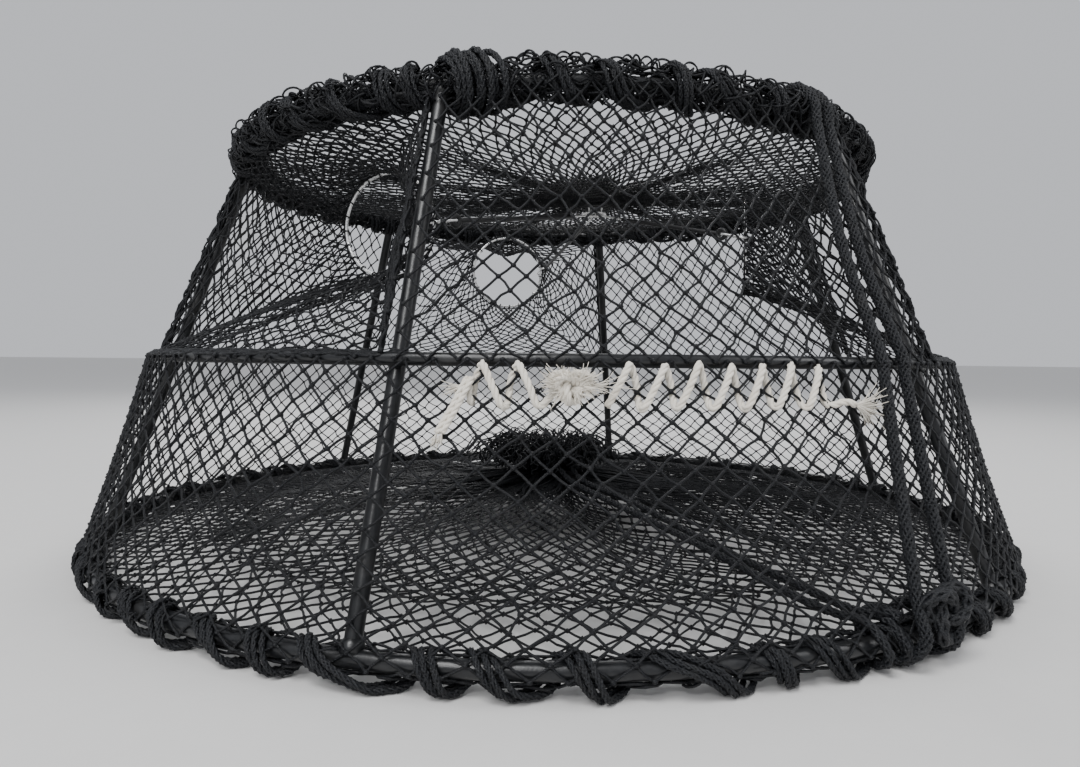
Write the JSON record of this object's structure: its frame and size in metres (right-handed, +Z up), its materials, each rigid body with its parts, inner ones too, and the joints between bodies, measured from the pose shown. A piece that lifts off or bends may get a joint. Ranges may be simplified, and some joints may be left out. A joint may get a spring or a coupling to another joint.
{
  "type": "crab trap",
  "caption": "Tapered round crab trap: rod rings and legs in black netting, net tunnels whose wire eyes hang on rubber cords, braided rope lashings and a purse line.",
  "frame": {"origin": "on the floor, under the centre of the rings", "axes": "+Z up through the centres of the rings, from the large one to the small one; -Y out through the plain front panel that has the rot cord"},
  "size_m": [0.789, 0.789, 0.3383],
  "materials": {
    "dipped_rod": "satin black vinyl-dipped rod",
    "netting": "black knotted twine mesh",
    "braided_rope": "black multi-strand braid",
    "cotton_cord": "untreated white cotton",
    "plated_wire": "bright zinc plated wire",
    "rubber_cord": "smooth black rubber",
    "twine": "black twine"
  },
  "bodies": {
    "frame": {"base_net": "netting", "base_net_gather": "netting", "frame_welds": "dipped_rod", "front_panel_net": "netting", "hub_ring": "plated_wire", "large_ring": "dipped_rod", "large_ring_lashing": "braided_rope", "left_tunnel_net": "netting", "leg_1": "dipped_rod", "leg_2": "dipped_rod", "leg_3": "dipped_rod", "leg_4": "dipped_rod", "leg_5": "dipped_rod", "leg_6": "dipped_rod", "lower_side_net": "netting", "mid_ring": "dipped_rod", "purse_rope_left": "braided_rope", "purse_rope_right": "braided_rope", "rear_left_panel_net": "netting", "rear_right_panel_net": "netting", "rear_tunnel_net": "netting", "right_tunnel_net": "netting", "rim_knot": "braided_rope", "rot_cord_knot": "cotton_cord", "rot_cord_lacing": "cotton_cord", "rot_cord_tail": "cotton_cord", "side_rope_left": "braided_rope", "side_rope_right": "braided_rope", "small_ring": "dipped_rod", "small_ring_lashing": "braided_rope", "top_draw_cord": "twine", "top_knot": "braided_rope", "top_net": "netting", "top_net_gather": "netting"},
    "left_eye": {"left_eye_ring": "plated_wire", "left_eye_hitching": "twine", "left_eye_clip": "plated_wire"},
    "left_rubber": {"left_rubber_cord": "rubber_cord", "left_cord_hook": "plated_wire"},
    "right_eye": {"right_eye_ring": "plated_wire", "right_eye_hitching": "twine", "right_eye_clip": "plated_wire"},
    "right_rubber": {"right_rubber_cord": "rubber_cord", "right_cord_hook": "plated_wire"},
    "rear_eye": {"rear_eye_ring": "plated_wire", "rear_eye_hitching": "twine", "rear_eye_clip": "plated_wire"},
    "rear_rubber": {"rear_rubber_cord": "rubber_cord", "rear_cord_hook": "plated_wire"}
  },
  "joints": [
    {"name": "left_eye_swing", "type": "hinge", "parent": "frame", "child": "left_eye", "pos_m": [-0.29678, -0.17134, 0.15575], "axis": [-0.5, 0.866, 0], "range_deg": [0, 16], "stiffness_Nm_per_rad": 0.12, "springref_deg": -34.38, "deforming": ["left_tunnel_net"]},
    {"name": "left_cord_unhook", "type": "hinge", "parent": "left_eye", "child": "left_rubber", "pos_m": [-0.10734, -0.10498, 0.26485], "axis": [-0.5311, 0.8473, 0], "range_deg": [0, 70]},
    {"name": "right_eye_swing", "type": "hinge", "parent": "frame", "child": "right_eye", "pos_m": [0.29678, -0.17134, 0.15575], "axis": [-0.5, -0.866, 0], "range_deg": [0, 16], "stiffness_Nm_per_rad": 0.12, "springref_deg": -34.38, "deforming": ["right_tunnel_net"]},
    {"name": "right_cord_unhook", "type": "hinge", "parent": "right_eye", "child": "right_rubber", "pos_m": [0.12308, -0.11011, 0.26617], "axis": [-0.767, -0.6417, 0], "range_deg": [0, 70]},
    {"name": "rear_eye_swing", "type": "hinge", "parent": "frame", "child": "rear_eye", "pos_m": [0, 0.34269, 0.15575], "axis": [1, 0, 0], "range_deg": [0, 16], "stiffness_Nm_per_rad": 0.12, "springref_deg": -34.38, "deforming": ["rear_tunnel_net"]},
    {"name": "rear_cord_unhook", "type": "hinge", "parent": "rear_eye", "child": "rear_rubber", "pos_m": [0.041, 0.1608, 0.2649], "axis": [1, 0, 0], "range_deg": [0, 70]}
  ]
}
